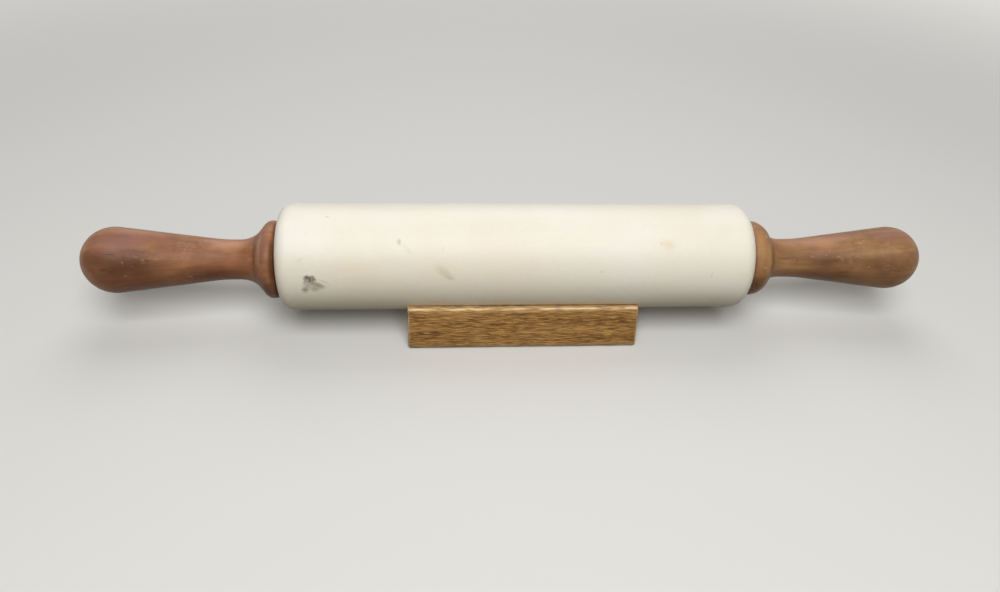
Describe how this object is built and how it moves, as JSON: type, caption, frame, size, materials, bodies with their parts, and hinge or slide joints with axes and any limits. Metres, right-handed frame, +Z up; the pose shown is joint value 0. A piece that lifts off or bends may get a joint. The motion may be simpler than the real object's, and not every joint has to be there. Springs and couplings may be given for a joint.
{
  "type": "marble rolling pin",
  "caption": "Marble rolling pin with turned wooden handles on a steel axle; the barrel spins freely and the pin lifts out of its grooved oak cradle.",
  "frame": {"origin": "on the surface that the cradle stands on, below the middle of the marble barrel", "axes": "+X along the pin towards the right handle, +Y to the back, +Z up"},
  "size_m": [0.4634, 0.0688, 0.0665],
  "materials": {
    "marble": "honed",
    "handle_wood": "oiled satin",
    "cradle_oak": "oiled satin",
    "steel": "turned",
    "nylon": "moulded",
    "brass": "turned"
  },
  "bodies": {
    "cradle": {"cradle": "cradle_oak"},
    "handles": {"axle_rod": "steel", "left_washer": "steel", "right_washer": "steel", "left_insert": "brass", "right_insert": "brass", "left_handle": "handle_wood", "right_handle": "handle_wood"},
    "barrel": {"barrel": "marble", "left_bush": "nylon", "right_bush": "nylon"}
  },
  "joints": [
    {"name": "lift_out", "type": "slide", "parent": "cradle", "child": "handles", "axis": [0, 0, 1], "range_m": [0, 0.04]},
    {"name": "barrel_spin", "type": "hinge", "parent": "handles", "child": "barrel", "pos_m": [0, 0, 0.0375], "axis": [1, 0, 0], "continuous": true}
  ]
}
